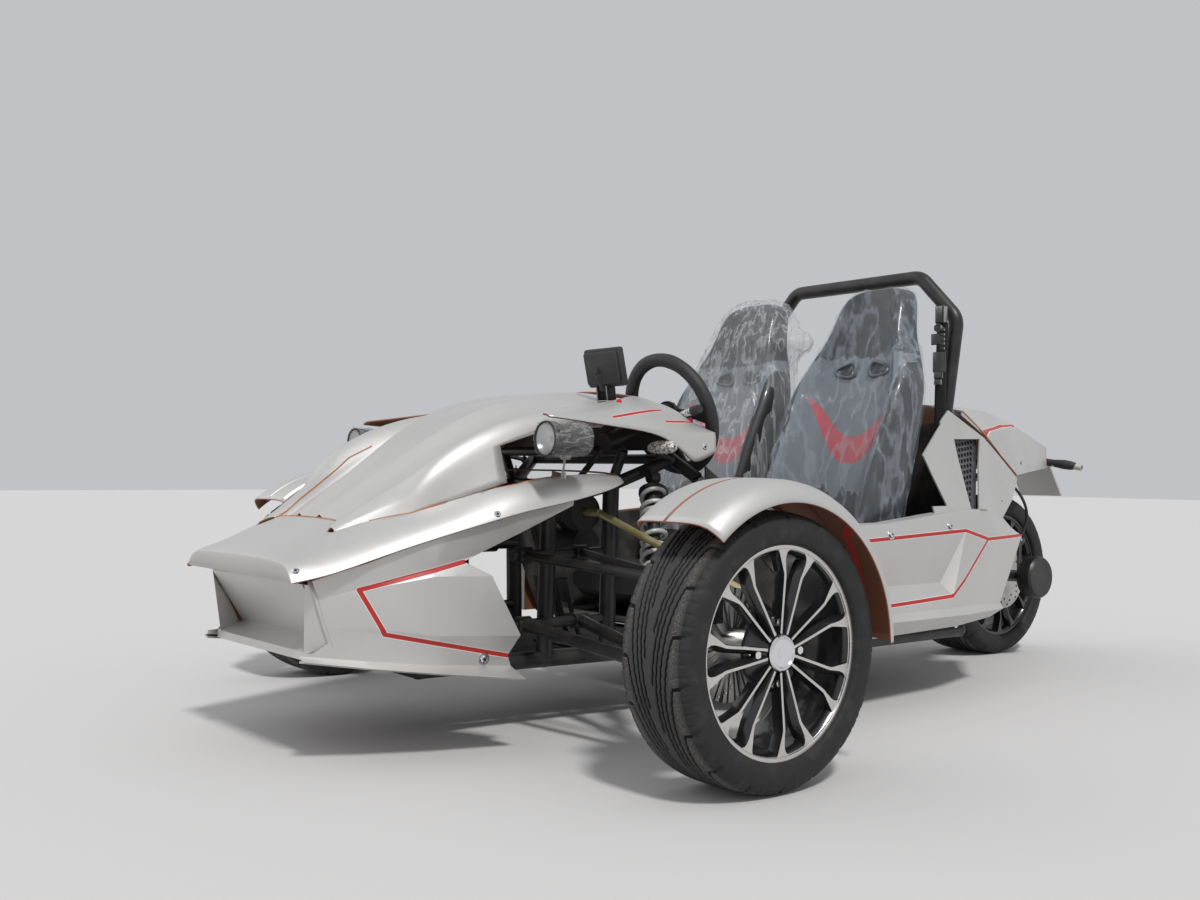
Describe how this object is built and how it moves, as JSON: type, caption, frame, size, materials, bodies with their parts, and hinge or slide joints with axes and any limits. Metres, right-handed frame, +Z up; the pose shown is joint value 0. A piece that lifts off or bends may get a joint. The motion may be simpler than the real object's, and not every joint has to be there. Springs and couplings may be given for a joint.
{
  "type": "open three wheeled roadster",
  "caption": "Open two-seat three wheeled car with a wedge nose, tube frame, roll bar, cycle mudguards on steered front wheels and one driven rear wheel.",
  "frame": {"origin": "on the ground, at the middle of the car's length and width", "axes": "-Y towards the nose, +X to the driver's left, +Z up"},
  "size_m": [2.048, 3.224, 1.273],
  "materials": {
    "silver_paint": "satin metallic paint on moulded panels",
    "black_paint": "semi-gloss black coat on steel tube",
    "black_plastic": "matte black plastic",
    "floor_plastic": "textured black sheet",
    "lamp_plastic": "clear film over a pale lens",
    "seat_fabric": "grey and black cover under clear film",
    "webbing": "woven black webbing",
    "cast_alloy": "cast, dull",
    "spring_steel": "grey coated spring",
    "wheel_grip": "fine grained grip",
    "zinc_steel": "yellow zinc plate",
    "cast_black": "black coated casting",
    "tyre": "worn matte rubber",
    "black_rim": "gloss black with machined faces",
    "chain_steel": "oiled steel chain",
    "hose_rubber": "black rubber hose",
    "disc_steel": "ground steel"
  },
  "bodies": {
    "chassis": {"frame_lower": "black_paint", "frame_posts": "black_paint", "frame_upper": "black_paint", "frame_rear": "black_paint", "roll_bar": "black_paint", "floor_pan": "floor_plastic", "cockpit_tub": "floor_plastic", "nose_lower": "silver_paint", "nose_side_left": "silver_paint", "nose_side_right": "silver_paint", "nose_cover": "silver_paint", "hood": "silver_paint", "cowl": "silver_paint", "dash": "black_plastic", "display": "black_plastic", "headlamps": "black_plastic", "indicators": "lamp_plastic", "side_panel_left": "silver_paint", "side_panel_right": "silver_paint", "grilles": "black_plastic", "tail_cowl": "silver_paint", "plate_holder": "black_plastic", "seat_left": "seat_fabric", "seat_right": "seat_fabric", "seat_belts": "webbing", "pedals": "black_paint", "engine": "cast_alloy", "swingarm": "black_paint", "chain": "chain_steel", "brake_hose": "hose_rubber", "rear_shock": "black_paint", "silencer": "black_paint", "suspension_arms": "black_paint", "coilovers": "spring_steel", "steering_column": "black_paint", "steering_rack": "black_plastic"},
    "steering_wheel": {"steering_wheel": "wheel_grip"},
    "rack": {"tie_rods": "zinc_steel"},
    "knuckle_left": {"knuckle_left": "cast_black", "mudguard_left": "silver_paint"},
    "knuckle_right": {"knuckle_right": "cast_black", "mudguard_right": "silver_paint"},
    "wheel_left": {"tyre_front_left": "tyre", "rim_front_left": "black_rim", "disc_front_left": "disc_steel"},
    "wheel_right": {"tyre_front_right": "tyre", "rim_front_right": "black_rim", "disc_front_right": "disc_steel"},
    "wheel_rear": {"tyre_rear": "tyre", "rim_rear": "black_rim", "disc_rear": "disc_steel"}
  },
  "joints": [
    {"name": "steering_wheel_turn", "type": "hinge", "parent": "chassis", "child": "steering_wheel", "pos_m": [0.255, -0.54, 0.785], "axis": [0, 0.9455, 0.3256], "range_deg": [-210, 210]},
    {"name": "rack_slide", "type": "slide", "parent": "chassis", "child": "rack", "axis": [1, 0, 0], "range_m": [-0.0525, 0.0525]},
    {"name": "steer_left", "type": "hinge", "parent": "chassis", "child": "knuckle_left", "pos_m": [0.79, -0.907, 0.281], "axis": [0, 0, 1], "range_deg": [-28.2, 28.2]},
    {"name": "steer_right", "type": "hinge", "parent": "chassis", "child": "knuckle_right", "pos_m": [-0.79, -0.907, 0.281], "axis": [0, 0, 1], "range_deg": [-28.2, 28.2]},
    {"name": "roll_front_left", "type": "hinge", "parent": "knuckle_left", "child": "wheel_left", "pos_m": [0.908, -0.907, 0.281], "axis": [1, 0, 0], "continuous": true},
    {"name": "roll_front_right", "type": "hinge", "parent": "knuckle_right", "child": "wheel_right", "pos_m": [-0.908, -0.907, 0.281], "axis": [1, 0, 0], "continuous": true},
    {"name": "roll_rear", "type": "hinge", "parent": "chassis", "child": "wheel_rear", "pos_m": [0, 1.191, 0.281], "axis": [1, 0, 0], "continuous": true}
  ],
  "couplings": [
    {"joint": "rack_slide", "follows": "steering_wheel_turn", "m_per_rad": -0.014188},
    {"joint": "steer_left", "follows": "steering_wheel_turn", "ratio": 0.13333},
    {"joint": "steer_right", "follows": "steering_wheel_turn", "ratio": 0.13333}
  ]
}
